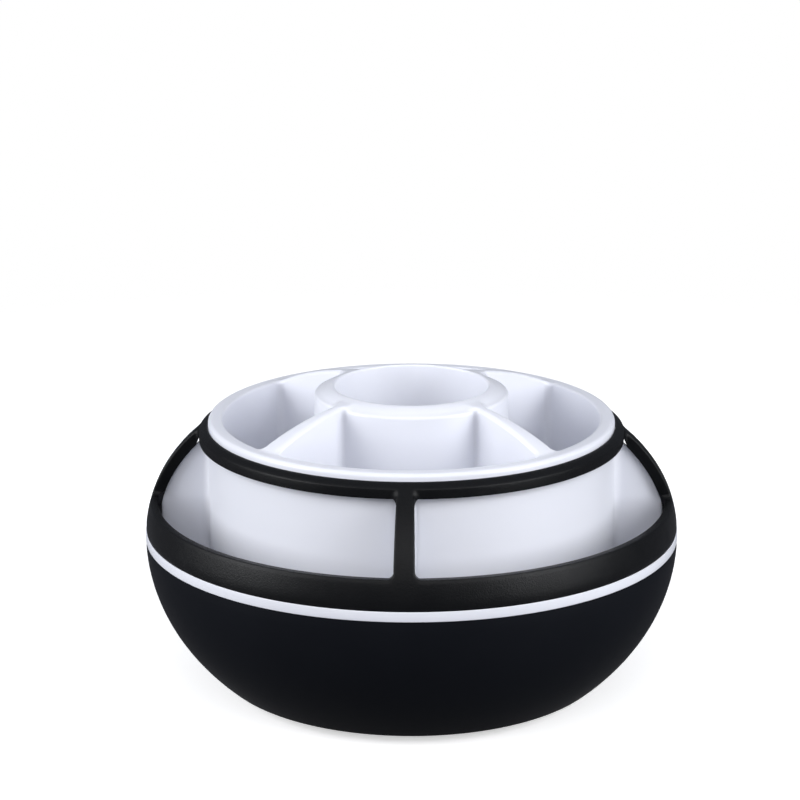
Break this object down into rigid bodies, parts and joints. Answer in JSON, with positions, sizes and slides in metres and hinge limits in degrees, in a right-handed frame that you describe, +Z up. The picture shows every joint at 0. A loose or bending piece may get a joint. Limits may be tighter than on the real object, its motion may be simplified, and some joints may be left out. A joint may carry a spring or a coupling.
{
  "type": "rotating desk caddy",
  "caption": "Round rotating desk caddy: bowl-shaped body with a centre cup, compartments around it and side pockets behind windows, turning on a ball-bearing foot.",
  "frame": {"origin": "centre of the underside on the table, on the turning axis", "axes": "+Z up along the turning axis; the four posts of the shell stand at -Y (front), +X, +Y and -X"},
  "size_m": [0.15, 0.15, 0.0856],
  "materials": {
    "soft_touch_black": "soft-touch coated ABS, smooth and matt with a faint sheen",
    "grained_black": "ABS moulded with a fine spark-eroded grain",
    "gloss_white": "polished cool-white ABS",
    "moulded_black": "plain moulded black plastic",
    "pad_rubber": "matt black rubber",
    "race_steel": "pressed, zinc-plated steel",
    "screw_steel": "zinc-plated steel",
    "ball_steel": "polished bearing steel",
    "cage_nylon": "natural moulded nylon"
  },
  "bodies": {
    "foot": {"foot_disc": "moulded_black", "foot_pad_1": "pad_rubber", "foot_pad_2": "pad_rubber", "foot_pad_3": "pad_rubber", "foot_pad_4": "pad_rubber", "lower_race": "race_steel", "lower_race_screws": "screw_steel", "retaining_washer": "race_steel", "pivot_screw": "screw_steel"},
    "ball_ring": {"ball_cage": "cage_nylon", "bearing_balls": "ball_steel"},
    "caddy": {"lower_bowl": "soft_touch_black", "trim_band": "gloss_white", "inner_tray": "gloss_white", "upper_shell": "grained_black", "tray_screws": "screw_steel", "upper_race": "race_steel", "upper_race_screws": "screw_steel"}
  },
  "joints": [
    {"name": "caddy_spin", "type": "hinge", "parent": "foot", "child": "caddy", "pos_m": [0, 0, 0.01], "axis": [0, 0, 1], "continuous": true},
    {"name": "ball_ring_spin", "type": "hinge", "parent": "foot", "child": "ball_ring", "pos_m": [0, 0, 0.007], "axis": [0, 0, 1], "continuous": true}
  ],
  "couplings": [
    {"joint": "ball_ring_spin", "follows": "caddy_spin", "ratio": 0.5}
  ]
}
